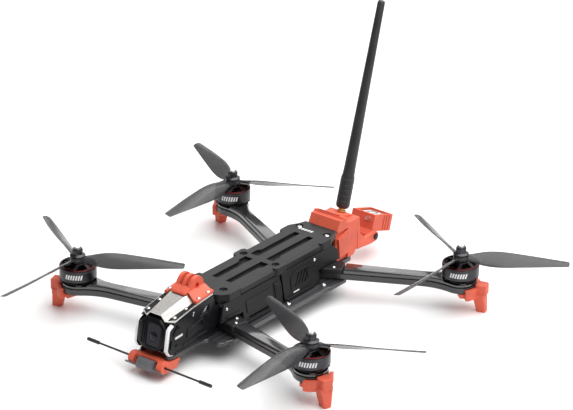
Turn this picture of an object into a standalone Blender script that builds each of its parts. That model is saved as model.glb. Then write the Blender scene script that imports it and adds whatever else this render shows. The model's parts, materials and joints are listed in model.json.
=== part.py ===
"""Long-range FPV quadcopter with four rotors, a tilting camera and a folding GPS tray.

The nose points towards -Y and the left side towards +X. The origin is the centre of the four motor
axes on the underside of the bottom plate. Dimensions below are in millimetres, and model() scales
each mesh to metres.
"""

import math

import bmesh
import bpy
from mathutils import Matrix, Vector

MM = 0.001
GAP = 0.3  # between touching pieces
SHARP = 35  # degrees between two faces from which their edge is drawn sharp

# Layout
MOTOR_X = 129.8
MOTOR_Y = 106.7
GROUND_Z = -15.0

# Plates and arms, heights from the underside of the bottom plate
PLATE_TOP = 4.0
ARM_LOW = PLATE_TOP + GAP
SEAM = 9.9  # top of an arm's carbon plate
COVER_TOP = 14.8
CLAMP_TOP = 15.4
SEAT = 12.7  # what a motor stands on
PAD_R = 15.0
ARM_ROOT_HALF = 7.4
ARM_TIP_HALF = 6.0
CLAMP_HALF = 9.6
# name, side of X, side of Y, arm's end under the shell as (x, y), clamp's outer end from the motor
ARMS = (
    ("front_left", 1, -1, (18.0, -82.0), 94.0, 19.0),
    ("front_right", -1, -1, (18.0, -82.0), 94.0, 19.0),
    ("rear_left", 1, 1, (18.0, 49.2), 104.0, 21.0),
    ("rear_right", -1, 1, (18.0, 49.2), 104.0, 21.0),
)

# Motor and propeller
BELL_R = 16.5
BELL_LOW = 17.4
BELL_RIM = 28.8
BELL_TOP = 31.0
SHAFT_R = 2.5
HUB_LOW = 31.3
HUB_TOP = 36.4
NUT_TOP = 44.0
PROP_R = 95.25
BLADES = 3
FIRST_BLADE = 30.5  # degrees from +X
BLADE_STATIONS = 10
# Radius fraction, chord and pitch angle along a blade
CHORD = ((0.05, 7.0), (0.1, 9.0), (0.22, 14.2), (0.32, 16.0), (0.42, 15.8), (0.7, 12.3), (1.0, 7.2))
PITCH = ((0.05, 24.0), (0.12, 32.0), (0.22, 40.0), (0.35, 38.0), (0.5, 33.0), (0.7, 25.5), (1.0, 14.0))

# Shell
SHELL_TOP = 38.0
SHELL_LOW = 31.0
SHELL_HALF = 24.0
ROOF_HALF = 19.4
PANEL_TOP = SHELL_LOW - GAP
PANEL_FOOT_HALF = 28.6
PANEL_THICK = 2.0

# Nose
NOSE_OUT = 18.4
NOSE_IN = 15.0
CAMERA_PIVOT = Vector((0.0, -145.5, 18.6))
CAMERA_LEAN = 12.0

# Tail
TAIL_HALF = 16.5
WHIP_TILT = 16.5
WHIP_FOOT = Vector((0.0, 103.5, 41.3))
GPS_PIVOT = Vector((0.0, 133.0, 10.8))
GPS_TILT = 18.0


def between(table, at):
    """The value at a place in a table of (place, value), linear between its rows."""
    for (a, low), (b, high) in zip(table, table[1:]):
        if at <= b:
            return low + (high - low) * max(0.0, (at - a) / (b - a))
    return table[-1][1]


def arc(centre, radius, start, end, steps):
    """Points of an arc, with its angles in degrees."""
    angles = [math.radians(start + (end - start) * i / steps) for i in range(steps + 1)]
    return [(centre[0] + radius * math.cos(a), centre[1] + radius * math.sin(a)) for a in angles]


def rounded(points, radius, steps=3):
    """A closed outline with its corners turned into arcs."""
    outline = []
    for before, corner, after in zip(points[-1:] + points[:-1], points, points[1:] + points[:1]):
        corner = Vector(corner)
        back = Vector(before) - corner
        ahead = Vector(after) - corner
        half = back.angle(ahead) / 2
        reach = min(radius / math.tan(half), back.length * 0.45, ahead.length * 0.45)
        start = corner + back.normalized() * reach
        end = corner + ahead.normalized() * reach
        for i in range(steps + 1):
            part = i / steps
            outline.append(tuple(start * (1 - part) ** 2 + corner * 2 * part * (1 - part) + end * part**2))
    return outline


def mirrored(points):
    """An outline from its +X half, listed from front to rear."""
    return points + [(-x, y) for x, y in reversed(points)]


def loft(rings, closed=False):
    """A closed mesh through rings of equally many points, listed so that its faces point out."""
    mesh = bmesh.new()
    rows = [[mesh.verts.new(p) for p in ring] for ring in rings]
    pairs = list(zip(rows, rows[1:]))
    if closed:
        pairs.append((rows[-1], rows[0]))
    else:
        mesh.faces.new(rows[0])
        mesh.faces.new(rows[-1])
    for row, following in pairs:
        for i in range(len(row)):
            j = (i + 1) % len(row)
            mesh.faces.new((row[i], row[j], following[j], following[i]))
    bmesh.ops.recalc_face_normals(mesh, faces=mesh.faces)
    return mesh


def prism(outline, low, high, axis="Z"):
    """An outline extruded along an axis. Its two numbers are the other two coordinates in X, Y, Z order."""
    place = {
        "X": lambda a, b, h: (h, a, b),
        "Y": lambda a, b, h: (a, h, b),
        "Z": lambda a, b, h: (a, b, h),
    }[axis]
    return loft([[place(a, b, h) for a, b in outline] for h in (low, high)])


def box(low, high):
    corners = [(low[0], low[1]), (high[0], low[1]), (high[0], high[1]), (low[0], high[1])]
    return prism(corners, low[2], high[2])


def turned(profile, steps=32):
    """A closed profile of (radius, height) turned about Z. A profile that starts and ends on the axis
    makes a solid piece, and one that stays off the axis makes a ring."""
    if profile[0][0] > 0:
        rings = []
        for i in range(steps):
            a = math.tau * i / steps
            rings.append([(r * math.cos(a), r * math.sin(a), z) for r, z in profile])
        return loft(rings, closed=True)
    mesh = bmesh.new()
    rows = []
    for r, z in profile:
        if r == 0:
            rows.append([mesh.verts.new((0, 0, z))] * steps)
            continue
        angles = [math.tau * i / steps for i in range(steps)]
        rows.append([mesh.verts.new((r * math.cos(a), r * math.sin(a), z)) for a in angles])
    for row, following in zip(rows, rows[1:]):
        for i in range(steps):
            j = (i + 1) % steps
            corners = [row[i], row[j], following[j], following[i]]
            mesh.faces.new([v for n, v in enumerate(corners) if v not in corners[:n]])
    bmesh.ops.recalc_face_normals(mesh, faces=mesh.faces)
    return mesh


def moved(mesh, matrix):
    bmesh.ops.transform(mesh, matrix=matrix, verts=mesh.verts)
    if matrix.determinant() < 0:
        bmesh.ops.reverse_faces(mesh, faces=mesh.faces)
    return mesh


def bevelled(mesh, width, segments, picks):
    """Bevels the edges whose two ends both pass a test."""
    edges = [e for e in mesh.edges if picks(e.verts[0].co) and picks(e.verts[1].co)]
    bmesh.ops.bevel(mesh, geom=edges, offset=width, segments=segments, affect="EDGES", clamp_overlap=True)
    return mesh


def together(*meshes):
    """Several meshes in one, as they are."""
    whole = bmesh.new()
    for mesh in meshes:
        piece = bpy.data.meshes.new("piece")
        mesh.to_mesh(piece)
        mesh.free()
        whole.from_mesh(piece)
        bpy.data.meshes.remove(piece)
    return whole


def material(name, colour, roughness, metallic=0.0, alpha=1.0):
    made = bpy.data.materials.new(name)
    made.use_nodes = True
    shader = made.node_tree.nodes["Principled BSDF"]
    shader.inputs["Base Color"].default_value = (*colour, 1.0)
    shader.inputs["Roughness"].default_value = roughness
    shader.inputs["Metallic"].default_value = metallic
    shader.inputs["Alpha"].default_value = alpha
    return made


def model(name, mesh, finish, origin=(0, 0, 0), helper=False):
    """A mesh in millimetres as an object in metres, with its own origin."""
    moved(mesh, Matrix.Scale(MM, 4) @ Matrix.Translation(-Vector(origin)))
    data = bpy.data.meshes.new(name)
    mesh.to_mesh(data)
    mesh.free()
    if finish:
        data.materials.append(finish)
    data.shade_smooth()
    data.set_sharp_from_angle(angle=math.radians(SHARP))
    made = bpy.data.objects.new(name, data)
    made.location = Vector(origin) * MM
    bpy.context.scene.collection.objects.link(made)
    if helper:
        made.hide_render = True
        made.display_type = "WIRE"
    return made


def boolean(target, mesh, operation="DIFFERENCE"):
    """Cuts a mesh in millimetres away from an object, or joins it on."""
    other = model(f"{target.name}_{operation.lower()}", mesh, None, helper=True)
    step = target.modifiers.new(other.name, "BOOLEAN")
    step.operation = operation
    step.object = other


def sharp_group():
    """A node group that draws edges sharp from an angle, for use after Booleans."""
    group = bpy.data.node_groups.new("sharp_edges", "GeometryNodeTree")
    group.interface.new_socket("Geometry", in_out="INPUT", socket_type="NodeSocketGeometry")
    group.interface.new_socket("Geometry", in_out="OUTPUT", socket_type="NodeSocketGeometry")
    came = group.nodes.new("NodeGroupInput")
    angle = group.nodes.new("GeometryNodeInputMeshEdgeAngle")
    under = group.nodes.new("FunctionNodeCompare")
    under.operation = "LESS_THAN"
    under.inputs["B"].default_value = math.radians(SHARP)
    shade = group.nodes.new("GeometryNodeSetShadeSmooth")
    shade.domain = "EDGE"
    leaves = group.nodes.new("NodeGroupOutput")
    group.links.new(came.outputs[0], shade.inputs["Geometry"])
    group.links.new(angle.outputs["Unsigned Angle"], under.inputs["A"])
    group.links.new(under.outputs["Result"], shade.inputs["Shade Smooth"])
    group.links.new(shade.outputs[0], leaves.inputs[0])
    return group


def arm_frame(arm):
    """Where an arm runs: its root, its unit vector towards the motor, and its length."""
    _, side, end, root, _, _ = arm
    start = Vector((side * root[0], root[1], 0))
    tip = Vector((side * MOTOR_X, end * MOTOR_Y, 0))
    along = (tip - start).normalized()
    return start, along, (tip - start).length


def arm_matrix(arm):
    """Places a shape drawn along +X from the root, with +Y towards the tail."""
    start, along, _ = arm_frame(arm)
    rear = Vector((-along.y, along.x, 0)) * (1 if along.x > 0 else -1)
    return Matrix.Translation(start) @ Matrix((
        (along.x, rear.x, 0, 0),
        (along.y, rear.y, 0, 0),
        (0, 0, 1, 0),
        (0, 0, 0, 1),
    ))


def arm_outline(length, start, inset, pad):
    """An arm seen from above: a slim beam that widens into a round motor pad."""
    waist = length - 34.0
    join = math.radians(120)
    radius = pad - inset
    end = Vector((length + radius * math.cos(join), radius * math.sin(join)))
    root_half = ARM_ROOT_HALF - inset
    tip_half = ARM_TIP_HALF - inset
    half = [(start, root_half), (waist, tip_half)]
    reach = end.x - waist
    slope = -math.cos(join) / math.sin(join) * reach
    for i in range(1, 6):
        t = i / 6
        rise = end.y - tip_half
        half.append((waist + reach * t, tip_half + rise * (3 * t**2 - 2 * t**3) + slope * (t**3 - t**2)))
    half += arc((length, 0), radius, 120, 0, 9)
    return half + [(x, -y) for x, y in reversed(half[:-1])]


def make_arm(arm, carbon, plastic):
    """An arm's carbon plate, its moulded cover and the block that clamps its root."""
    name, _, _, _, clamp_at, clamp_length = arm
    _, _, length = arm_frame(arm)
    place = arm_matrix(arm)
    clamp_out = length - clamp_at
    plate = prism(arm_outline(length, 0.0, 0.0, PAD_R), ARM_LOW, SEAM)
    plate = bevelled(plate, 0.8, 1, lambda p: p.z < ARM_LOW + 0.01)
    model(f"arm_plate_{name}", moved(plate, place), carbon)

    low = SEAM + GAP
    cover = prism(arm_outline(length, clamp_out + GAP, 0.4, PAD_R), low, COVER_TOP)
    cover = bevelled(cover, 1.9, 2, lambda p: p.z > COVER_TOP - 0.01)
    cover = model(f"arm_cover_{name}", moved(cover, place), plastic)
    pocket = turned([(0, SEAT), (PAD_R + 1.6, SEAT), (PAD_R + 1.6, COVER_TOP + 2), (0, COVER_TOP + 2)], 36)
    grooves = [
        box((clamp_out + 5, v - 0.8, COVER_TOP - 1.4), (length - PAD_R - 5, v + 0.8, COVER_TOP + 1))
        for v in (-1.9, 2.3)
    ]
    pocket = moved(pocket, Matrix.Translation((length, 0, 0)))
    boolean(cover, moved(together(pocket, *grooves), place))

    corners = [(clamp_out - clamp_length, -CLAMP_HALF), (clamp_out, -CLAMP_HALF + 1)]
    corners += [(clamp_out, CLAMP_HALF - 1), (clamp_out - clamp_length, CLAMP_HALF)]
    clamp = prism(rounded(corners, 2.0, 2), low, CLAMP_TOP)
    clamp = bevelled(clamp, 1.0, 1, lambda p: p.z > CLAMP_TOP - 0.01)
    model(f"arm_clamp_{name}", moved(clamp, place), plastic)


def make_foot(arm, soft):
    """A soft foot: a clip round the arm's end, a lobe under the pad and a tapered leg."""
    name, side, end, _, _, _ = arm
    direction = math.radians(17.0)
    place = Matrix.Translation((side * MOTOR_X, end * MOTOR_Y, 0))
    place = place @ Matrix.Diagonal((side, end, 1, 1)) @ Matrix.Rotation(direction, 4, "Z")
    lobe = arc((0, 0), 15.0, -74, 74, 10) + [(-1.0, 6.0), (-3.0, 0.0), (-1.0, -6.0)]
    lobe = bevelled(prism(lobe, -0.6, ARM_LOW - GAP), 1.6, 1, lambda p: p.z < -0.5)
    wall = arc((0, 0), 19.0, -56, 56, 8) + arc((0, 0), 14.0, 56, -56, 8)
    wall = bevelled(prism(wall, -1.6, SEAT - 4.2), 1.3, 1, lambda p: p.z < -1.5)
    knob = prism(rounded([(15.2, -5.6), (25.4, -5.0), (25.4, 5.0), (15.2, 5.6)], 1.5, 2), 1.5, SEAT - 1.2)
    knob = bevelled(knob, 1.0, 1, lambda p: p.z < 1.6 or p.z > SEAT - 1.3)
    rings = []
    leg = ((2.6, 12.5, 23.8, 6.6), (-4.0, 14.2, 24.2, 5.2), (GROUND_Z, 16.4, 25.0, 3.6))
    for z, low_x, high_x, half in leg:
        ring = rounded([(low_x, -half), (high_x, -half), (high_x, half), (low_x, half)], 1.5, 2)
        rings.append([(x, y, z) for x, y in ring])
    foot = model(f"foot_{name}", moved(loft(rings), place), soft)
    boolean(foot, moved(lobe, place), "UNION")
    boolean(foot, moved(wall, place), "UNION")
    boolean(foot, moved(knob, place), "UNION")
    pad = PAD_R + GAP
    room = turned([(0, ARM_LOW - GAP), (pad, ARM_LOW - GAP), (pad, SEAT + 4), (0, SEAT + 4)], 48)
    boolean(foot, moved(room, place))


def make_motor(arm, black, copper):
    """A motor's fixed stator and base, and its bell with the shaft."""
    name, side, end, _, _, _ = arm
    axis = Vector((side * MOTOR_X, end * MOTOR_Y, 0))
    place = Matrix.Translation(axis)
    low = SEAT + GAP
    bore = SHAFT_R + 0.6
    base = turned([
        (bore, low), (12.5, low), (13.5, low + 1.4), (9.0, BELL_LOW - 0.2), (9.0, BELL_LOW + 1.2),
        (13.6, BELL_LOW + 2.2), (13.6, BELL_RIM - 3.6), (9.0, BELL_RIM - 2.6), (bore, BELL_RIM - 2.6),
    ], 24)
    stator = model(f"motor_stator_{name}", moved(base, place), copper, axis)
    lugs = []
    for k in range(4):
        lug = prism(rounded([(9, -3.2), (16.2, -3.2), (16.2, 3.2), (9, 3.2)], 2.4, 2), low, low + 2.4)
        lugs.append(moved(lug, Matrix.Rotation(math.radians(45 + 90 * k), 4, "Z")))
    for lug in lugs:
        boolean(stator, moved(lug, place), "UNION")

    wall = 1.5
    inner = BELL_R - wall
    profile = [
        (0, BELL_RIM - 9.0), (SHAFT_R, BELL_RIM - 9.0), (SHAFT_R, BELL_RIM - 2.0), (5.0, BELL_RIM - 1.4),
        (inner, BELL_RIM - 1.4), (inner, BELL_LOW), (BELL_R - 0.4, BELL_LOW), (BELL_R, BELL_LOW + 0.6),
        (BELL_R, BELL_RIM - 0.6), (BELL_R - 0.6, BELL_RIM), (inner - 0.6, BELL_RIM + 0.2),
        (6.4, BELL_TOP), (SHAFT_R, BELL_TOP), (SHAFT_R, NUT_TOP + 1.0), (0, NUT_TOP + 1.0),
    ]
    bell = model(f"motor_bell_{name}", moved(turned(profile, 32), place), black, axis)
    windows = []
    for k in range(6):
        window = arc((0, 0), 13.8, 10, 50, 4) + arc((0, 0), 7.2, 46, 14, 3)
        window = prism(window, BELL_RIM - 3, BELL_TOP + 2)
        windows.append(moved(window, Matrix.Rotation(math.radians(60 * k), 4, "Z")))
    boolean(bell, moved(together(*windows), place))


def blade_ring(fraction, hand):
    """A blade's section at a fraction of the radius: flat below, crowned above, leading edge forward."""
    radius = PROP_R * fraction
    chord = between(CHORD, fraction)
    pitch = math.radians(between(PITCH, fraction))
    thick = 2.4 - 1.5 * fraction
    sweep = 0.7 * math.sin(math.pi * fraction) - 0.8 * fraction
    ring = []
    foil = ((-0.5, 0.0), (0.0, -0.12), (0.5, 0.0), (0.5, 0.35), (0.2, 0.95), (-0.2, 0.7), (-0.5, 0.25))
    for across, up in foil:
        forward = across * chord
        lift = up * thick
        y = forward * math.cos(pitch) - lift * math.sin(pitch) + sweep
        z = forward * math.sin(pitch) + lift * math.cos(pitch)
        ring.append((radius, hand * y, z + (HUB_LOW + HUB_TOP) / 2 - 0.6))
    return ring


def make_rotor(arm, smoke, black):
    """A propeller with three twisted blades, and the flanged nut that holds it."""
    name, side, end, _, _, _ = arm
    hand = side * end  # +1 turns anticlockwise seen from above
    axis = Vector((side * MOTOR_X, end * MOTOR_Y, 0))
    place = Matrix.Translation(axis)
    bore = SHAFT_R + 0.05
    hub = turned([(bore, HUB_LOW), (6.6, HUB_LOW), (6.9, HUB_LOW + 0.6), (6.9, HUB_TOP - 0.8),
                  (6.2, HUB_TOP), (bore, HUB_TOP)], 24)
    propeller = model(f"propeller_{name}", moved(hub, place), smoke, axis)
    fractions = [0.055] + [0.1 + 0.9 * i / BLADE_STATIONS for i in range(BLADE_STATIONS + 1)]
    for k in range(BLADES):
        blade = loft([blade_ring(f, hand) for f in fractions])
        turn = Matrix.Rotation(math.radians(FIRST_BLADE + 360 / BLADES * k), 4, "Z")
        boolean(propeller, moved(blade, place @ turn), "UNION")

    low = HUB_TOP + GAP
    nut = turned([(bore, low), (6.9, low), (6.9, low + 1.0), (5.3, low + 2.0), (5.3, NUT_TOP - 0.6),
                  (4.6, NUT_TOP), (bore, NUT_TOP)], 24)
    model(f"prop_nut_{name}", moved(nut, place), black, axis)


def make_bottom_plate(carbon):
    """The plate under everything: a nose strip, bosses at the front arms, wide sides and a tail tongue."""
    half = [(12.6, -147.0), (12.6, -157.0), (15.0, -156.0), (17.6, -150.0), (17.6, -113.0), (21.0, -109.6)]
    half += arc((30.5, -104.5), 5.2, -120, 20, 6)
    half += [(38.5, -96.0), (38.5, -79.0), (35.3, -73.0), (35.3, -27.0), (39.6, -20.0), (39.6, 33.0)]
    half += [(41.0, 37.0), (41.0, 58.0), (32.0, 68.0), (17.0, 74.0), (17.0, 96.0), (14.0, 99.0)]
    plate = prism(mirrored(half), 0, PLATE_TOP)
    model("bottom_plate", bevelled(plate, 0.6, 1, lambda p: p.z < 0.01 or p.z > PLATE_TOP - 0.01), carbon)


def make_shell(plastic):
    """The top shell, with raised bosses, four long recesses and sockets for its screws."""
    half = [(14.0, -93.0), (19.6, -90.0), (24.2, -84.0), (24.2, -70.0), (23.0, -67.0), (23.0, -22.0)]
    half += [(25.0, -19.0), (25.0, -8.5), (23.0, -5.5), (23.0, 43.0), (24.0, 46.0), (24.0, 57.0)]
    half += [(19.5, 65.0), (17.0, 73.0)]
    shell = model("top_shell", prism(mirrored(half), SHELL_LOW, SHELL_TOP), plastic)
    cuts = [prism(mirrored([(11, -87), (20, -80), (20, 60), (14, 68)]), SHELL_LOW - 2, SHELL_TOP - 4.2)]
    for low, high in ((-67.5, -21.5), (-6.0, 43.5)):
        for side in (1, -1):
            wedge = [(side * x, z) for x, z in ((ROOF_HALF, 38.6), (27, 32.9), (27, 40.0), (ROOF_HALF, 40.0))]
            cuts.append(prism(wedge, low, high, "Y"))
    for low, high in ((-66.0, -17.5), (-10.5, 49.0)):
        for side in (1, -1):
            inner, outer, wide = side * 4.6, side * 10.6, side * 13.0
            if low < -30:
                bend = [(outer, low), (outer, high - 12), (wide, high - 9), (wide, high)]
            else:
                bend = [(wide, low), (wide, low + 9), (outer, low + 12), (outer, high)]
            track = [(inner, low)] + bend + [(inner, high)]
            cuts.append(prism(track, SHELL_TOP - 2.8, SHELL_TOP + 1))
    for x, y in ((13.9, -80.0), (17.9, -14.0), (15.5, 62.0)):
        for side in (1, -1):
            floor, rim = SHELL_TOP - 1.6, SHELL_TOP + 0.5
            socket = turned([(0, floor), (2.9, floor), (3.9, rim), (0, rim)], 16)
            cuts.append(moved(socket, Matrix.Translation((side * x, y, 0))))
    boolean(shell, together(*cuts))


def panel_x(z):
    """The outer face of a side panel, which leans outwards to its foot."""
    return SHELL_HALF + (PANEL_FOOT_HALF - SHELL_HALF) * (PANEL_TOP - z) / (PANEL_TOP - ARM_LOW)


def make_panels(plastic):
    """Four leaning side panels, cut away over the arm clamps. The rear ones have slanted vents."""
    over = CLAMP_TOP + 0.8
    front = [(-98.0, over), (-69.0, over), (-69.0, ARM_LOW), (-16.5, ARM_LOW), (-16.5, PANEL_TOP)]
    front += [(-91.5, PANEL_TOP)]
    rear = [(-13.5, ARM_LOW), (36.0, ARM_LOW), (36.0, over), (66.0, over), (66.0, PANEL_TOP - 6)]
    rear += [(60.0, PANEL_TOP), (-13.5, PANEL_TOP)]
    for label, outline in (("front", front), ("rear", rear)):
        for side_name, side in (("left", 1), ("right", -1)):
            mesh = loft([
                [(side * (panel_x(z) - thick), y, z) for y, z in outline] for thick in (0, PANEL_THICK)
            ])
            panel = model(f"side_panel_{label}_{side_name}", mesh, plastic)
            cuts = []
            if label == "rear":
                for k in range(4):
                    y = 1.5 + 4.4 * k
                    slot = [(y, 13.0), (y + 1.9, 13.0), (y + 9.4, 24.0), (y + 7.5, 24.0)]
                    cuts.append(prism(slot, min(side * 18, side * 32), max(side * 18, side * 32), "X"))
            else:
                slot = rounded([(-62.0, 7.5), (-30.0, 7.5), (-30.0, 9.5), (-62.0, 9.5)], 1.0, 2)
                cuts.append(prism(slot, min(side * 18, side * 32), max(side * 18, side * 32), "X"))
            boolean(panel, together(*cuts))


def make_nose(plastic, silver):
    """Two side plates with curved camera slots, and the bent cover over them."""
    outline = [(-100.0, ARM_LOW), (-152.6, ARM_LOW), (-156.6, 5.6), (-160.0, 11.0), (-156.6, 29.0)]
    outline += [(-154.6, 31.0), (-151.0, 32.6), (-147.0, 33.2), (-125.0, 38.4), (-112.0, 40.2), (-99.0, 41.5)]
    outline += [(-96.0, 30.0), (-90.0, 28.0), (-90.0, 18.0)]
    slot_centre = (-129.0, 9.4)
    upper = arc(slot_centre, 28.0, 127, 150, 5) + arc(slot_centre, 25.8, 150, 127, 5)
    lower = arc(slot_centre, 28.0, 158, 176, 4) + arc(slot_centre, 25.8, 176, 158, 4)
    window = [(-117.5, 27.0), (-105.0, 28.5), (-103.5, 34.5), (-107.0, 34.8)]
    for side_name, side in (("left", 1), ("right", -1)):
        low, high = sorted((side * NOSE_IN, side * NOSE_OUT))
        mesh = prism(outline, low, high, "X")
        mesh = bevelled(mesh, 2.8, 1, lambda p: abs(p.x) > NOSE_OUT - 0.01 and p.y < -150)
        plate = model(f"nose_plate_{side_name}", mesh, plastic)
        cuts = [prism(shape, low - 2, high + 2, "X") for shape in (upper, lower, window)]
        for y, z in ((-144.5, 27.6), (-148.0, 12.6)):
            hole = [(y - 1.9, z - 1.1), (y + 1.9, z - 0.3), (y + 1.9, z + 1.3), (y - 1.9, z + 0.5)]
            hole = rounded(hole, 0.8, 2)
            cuts.append(prism(hole, low - 2, high + 2, "X"))
        boolean(plate, together(*cuts))

    # Sections of the cover: half-widths of the flat, of the slope's foot and of the flange, and heights
    rings = []
    for y, flat, foot, out, top, drop in (
        (-152.5, 6.2, 9.8, 17.6, 39.3, 4.6),
        (-146.5, 6.6, 10.6, NOSE_OUT, 40.8, 5.2),
        (-125.0, 8.0, 13.4, NOSE_OUT, 46.0, 6.2),
        (-112.0, 8.0, 13.4, NOSE_OUT, 46.6, 5.0),
        (-99.5, 8.0, 13.4, NOSE_OUT, 46.6, 3.6),
    ):
        back = 4.4 if y < -150 else 0.0
        over = [(-out, y + back, top - drop), (-foot, y, top - drop), (-flat, y, top)]
        over += [(-x, *rest) for x, *rest in reversed(over)]
        rings.append(over + [(x, at, z - 1.0) for x, at, z in reversed(over)])
    model("nose_cover", loft(rings), silver)


def camera_matrix():
    return Matrix.Translation(CAMERA_PIVOT) @ Matrix.Rotation(math.radians(-CAMERA_LEAN), 4, "X")


def make_camera(gloss, black, glass):
    """The tilting camera about its X axis: a body, a faceted bezel in front and a round lens."""
    place = camera_matrix()
    body = prism(rounded([(-9.5, -9.5), (9.5, -9.5), (9.5, 9.5), (-9.5, 9.5)], 3.0, 2), -9.5, 10.0, "Y")
    body = model("camera_body", moved(body, place), black, CAMERA_PIVOT)
    ears = prism(arc((0, 0), 4.0, 0, 330, 11), -NOSE_IN + GAP, NOSE_IN - GAP, "X")
    boolean(body, moved(ears, place), "UNION")

    rings = []
    for y, wide, high, cut in ((-9.8, 14.6, 15.0, 7.0), (-12.4, 14.6, 15.0, 7.0), (-14.4, 12.4, 13.0, 5.8)):
        ring = [(wide, high - cut), (wide, -high + cut), (wide - cut, -high + 1.8), (0, -high + 0.2)]
        ring += [(-wide + cut, -high + 1.8), (-wide, -high + cut), (-wide, high - cut), (-wide + cut, high)]
        ring.append((wide - cut, high))
        rings.append([(x, y, z) for x, z in ring])
    bezel = model("camera_bezel", moved(loft(rings), place), gloss, CAMERA_PIVOT)
    well = turned([(0, 8.0), (7.3, 8.0), (7.3, 17.0), (0, 17.0)], 24)
    boolean(bezel, moved(moved(well, Matrix.Rotation(math.radians(90), 4, "X")), place))
    lens = turned([(0, 9.8), (6.9, 9.8), (6.9, 13.0), (5.0, 13.7), (2.6, 14.1), (0, 14.2)], 24)
    lens = moved(moved(lens, Matrix.Rotation(math.radians(90), 4, "X")), place)
    model("camera_lens", lens, glass, CAMERA_PIVOT)


def make_action_mount(soft):
    """The three-finger mount on the nose: a block with a ramp, fingers with a cross hole, and flanges."""
    base = 46.6 + GAP
    side_view = [(-98.0, base), (-124.0, base), (-122.6, base + 1.6), (-117.0, 51.2)]
    side_view += arc((-107.5, 50.4), 8.4, 150, 5, 8) + [(-98.0, base + 1.6)]
    mount = model("action_mount", prism(side_view, -8.0, 8.0, "X"), soft)
    rings = []
    for y, low in ((-120.0, 40.8), (-112.0, 41.9), (-98.0, 43.5)):
        half = [(9.0, base), (13.9, low), (18.0, low), (18.0, low + 2.2), (14.4, low + 2.4), (8.6, base + 2.0)]
        rings.append([(x, y, z) for x, z in mirrored(half)])
    boolean(mount, loft(rings), "UNION")
    cuts = [box((x - 1.65, -116.5, 48.6), (x + 1.65, -90.0, 62.0)) for x in (-3.2, 3.2)]
    hole = arc((-107.5, 50.6), 2.6, 0, 330, 11)
    cuts.append(prism(hole, -12.0, 12.0, "X"))
    boolean(mount, together(*cuts))


def make_receiver_front(soft, grey, black):
    """The holder under the nose, its antenna capsule, and the two straight receiver antennas."""
    axis = (-162.2, -3.0)
    lug = [(-143.0, -0.4), (-146.0, -7.5), (-156.0, -8.6)] + arc(axis, 5.6, -120, -270, 8)
    lug += [(-157.6, 1.4), (-157.6, -0.4)]
    holder = model("antenna_holder", prism(lug, 12.6, 18.4, "X"), soft)
    boolean(holder, prism(lug, -18.4, -12.6, "X"), "UNION")
    bridge = [(-18.0, -4.6), (-13.5, -4.6), (-11.0, 0.2), (11.0, 0.2), (13.5, -4.6), (18.0, -4.6)]
    bridge += [(16.5, 1.6), (9.0, 2.8), (-9.0, 2.8), (-16.5, 1.6)]
    boolean(holder, prism(bridge, -163.6, -158.0, "Y"), "UNION")
    boolean(holder, box((-13.5, -158.6, -3.6), (13.5, -146.0, -0.4)), "UNION")
    boolean(holder, prism(arc(axis, 1.5, 0, 330, 11), -25.0, 25.0, "X"))

    pod = rounded([(-170.6, -8.2), (-160.2, -8.2), (-160.2, 1.6), (-167.6, 1.2)], 3.6, 3)
    pod = prism(pod, -8.2, 9.4, "X")
    capsule = model("antenna_capsule", pod, grey)
    room = box((-12.0, -164.2, -0.4), (12.0, -157.0, 5.0))
    boolean(capsule, together(room, prism(arc(axis, 1.5, 0, 330, 11), -25.0, 25.0, "X")))
    pin = prism(arc((-168.6, -5.4), 0.8, 0, 300, 5), -20.5, 20.5, "X")
    boolean(capsule, pin, "UNION")

    for side_name, side in (("left", 1), ("right", -1)):
        profile = [(0, 9.3), (0.9, 9.3), (0.9, 55.5), (1.6, 56.0), (1.6, 68.4), (1.2, 69.0), (0, 69.0)]
        rod = moved(turned(profile, 10), Matrix.Rotation(math.radians(90 * side), 4, "Y"))
        model(f"receiver_antenna_{side_name}", moved(rod, Matrix.Translation((0, *axis))), black)


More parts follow.
